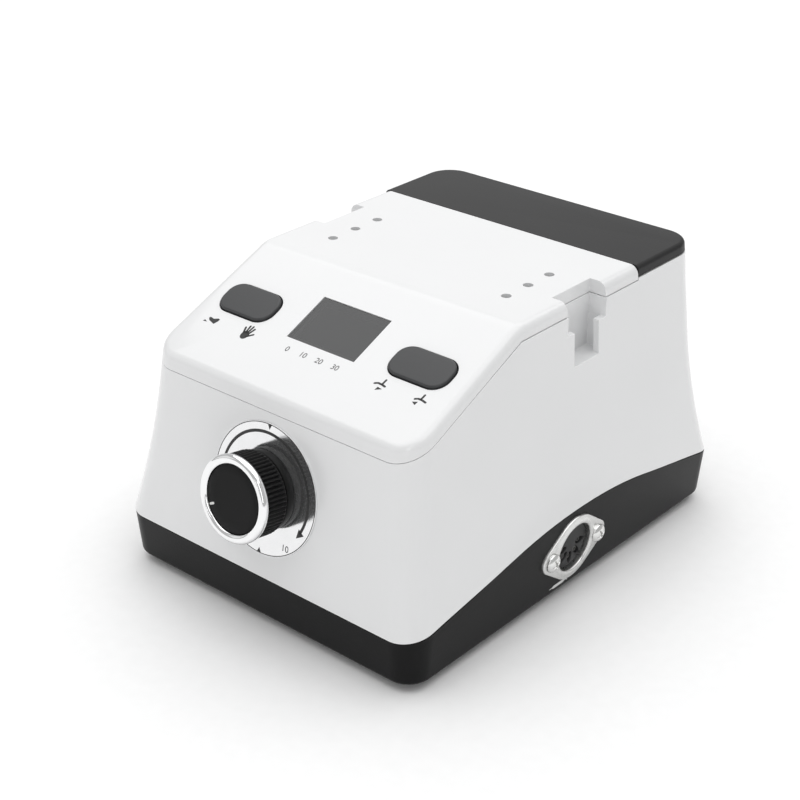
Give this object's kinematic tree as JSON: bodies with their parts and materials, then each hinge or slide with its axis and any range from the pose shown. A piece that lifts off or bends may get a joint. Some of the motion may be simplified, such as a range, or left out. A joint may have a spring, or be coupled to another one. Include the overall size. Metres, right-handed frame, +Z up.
{
  "type": "nail drill control box",
  "caption": "Table-top control box of an electric nail drill, with a ribbed speed knob, keys, display, bit holes, cradle slots and a round motor socket.",
  "frame": {"origin": "middle of the bottom of the whole box, on the table under its feet", "axes": "+X to the right seen from the front, +Y from the knob to the back wall, +Z up"},
  "size_m": [0.1184, 0.1648, 0.0895],
  "materials": {
    "body_white": "smooth gloss",
    "base_black": "satin gloss",
    "lid_black": "satin gloss",
    "window_tint": "clear tinted acrylic",
    "display_dark": "matt",
    "board_green": "solder resist",
    "screw_steel": "plated",
    "key_grey": "satin gloss",
    "switch_black": "moulded",
    "dial_mirror": "polished",
    "steel_plated": "zinc plated",
    "brass_plain": "machined",
    "pot_shell": "pressed sheet",
    "knob_black": "fine matt",
    "knob_chrome": "polished",
    "socket_metal": "satin nickel",
    "socket_black": "moulded",
    "contact_metal": "silver plated",
    "foot_rubber": "matt",
    "sink_aluminium": "black anodised",
    "transistor_black": "epoxy",
    "capacitor_sleeve": "shrink sleeve",
    "connector_white": "nylon",
    "core_steel": "varnished laminations",
    "bobbin_plastic": "nylon",
    "winding_copper": "enamelled copper wire",
    "winding_tape": "yellow tape",
    "bracket_steel": "zinc plated",
    "inlet_black": "moulded",
    "pin_brass": "nickel plated",
    "rocker_black": "gloss",
    "fuse_glass": "clear tube",
    "jack_black": "moulded"
  },
  "bodies": {
    "housing": {"base_tray": "base_black", "board_connectors": "connector_white", "board_screws": "screw_steel", "body_shell": "body_white", "bracket_screws": "screw_steel", "capacitors": "capacitor_sleeve", "case_screws": "screw_steel", "cover_screws": "screw_steel", "dial_plate": "dial_mirror", "display_module": "display_dark", "display_window": "window_tint", "fuse": "fuse_glass", "fuse_cap": "inlet_black", "fuse_holder": "inlet_black", "heat_sink": "sink_aluminium", "inlet_pins": "pin_brass", "inlet_screws": "screw_steel", "jack_nut": "steel_plated", "key_switches": "switch_black", "main_board": "board_green", "panel_board": "board_green", "panel_screws": "screw_steel", "pedal_jack": "jack_black", "pot_body": "pot_shell", "pot_bushing": "brass_plain", "pot_nut": "steel_plated", "pot_washer": "steel_plated", "power_inlet": "inlet_black", "power_switch_body": "inlet_black", "power_transistor": "transistor_black", "primary_winding": "winding_copper", "rear_cover": "lid_black", "rubber_feet": "foot_rubber", "secondary_winding": "winding_tape", "socket_contacts": "contact_metal", "socket_flange": "socket_metal", "socket_insulator": "socket_black", "socket_nuts": "steel_plated", "socket_screws": "knob_chrome", "switch_terminals": "pin_brass", "top_cover": "body_white", "transformer_bobbin": "bobbin_plastic", "transformer_bracket": "bracket_steel", "transformer_core": "core_steel"},
    "knob": {"speed_knob": "knob_black", "knob_ring": "knob_chrome", "knob_cap": "knob_black", "pot_shaft": "steel_plated"},
    "mode_key": {"mode_key": "key_grey"},
    "direction_key": {"direction_key": "key_grey"},
    "power_rocker": {"power_rocker": "rocker_black"}
  },
  "joints": [
    {"name": "knob_turn", "type": "hinge", "parent": "housing", "child": "knob", "pos_m": [0, -0.0673, 0.0432], "axis": [0, 0.9866, -0.1633], "range_deg": [0, 270]},
    {"name": "mode_key_rock", "type": "hinge", "parent": "housing", "child": "mode_key", "pos_m": [-0.0324, -0.03728, 0.07648], "axis": [0, 0.9171, 0.3987], "range_deg": [-4, 4], "stiffness_Nm_per_rad": 0.05},
    {"name": "direction_key_rock", "type": "hinge", "parent": "housing", "child": "direction_key", "pos_m": [0.0324, -0.03728, 0.07648], "axis": [0, 0.9171, 0.3987], "range_deg": [-4, 4], "stiffness_Nm_per_rad": 0.05},
    {"name": "power_rocker_tilt", "type": "hinge", "parent": "housing", "child": "power_rocker", "pos_m": [0.001, 0.07301, 0.04037], "axis": [1, 0, 0], "range_deg": [0, 20]}
  ]
}
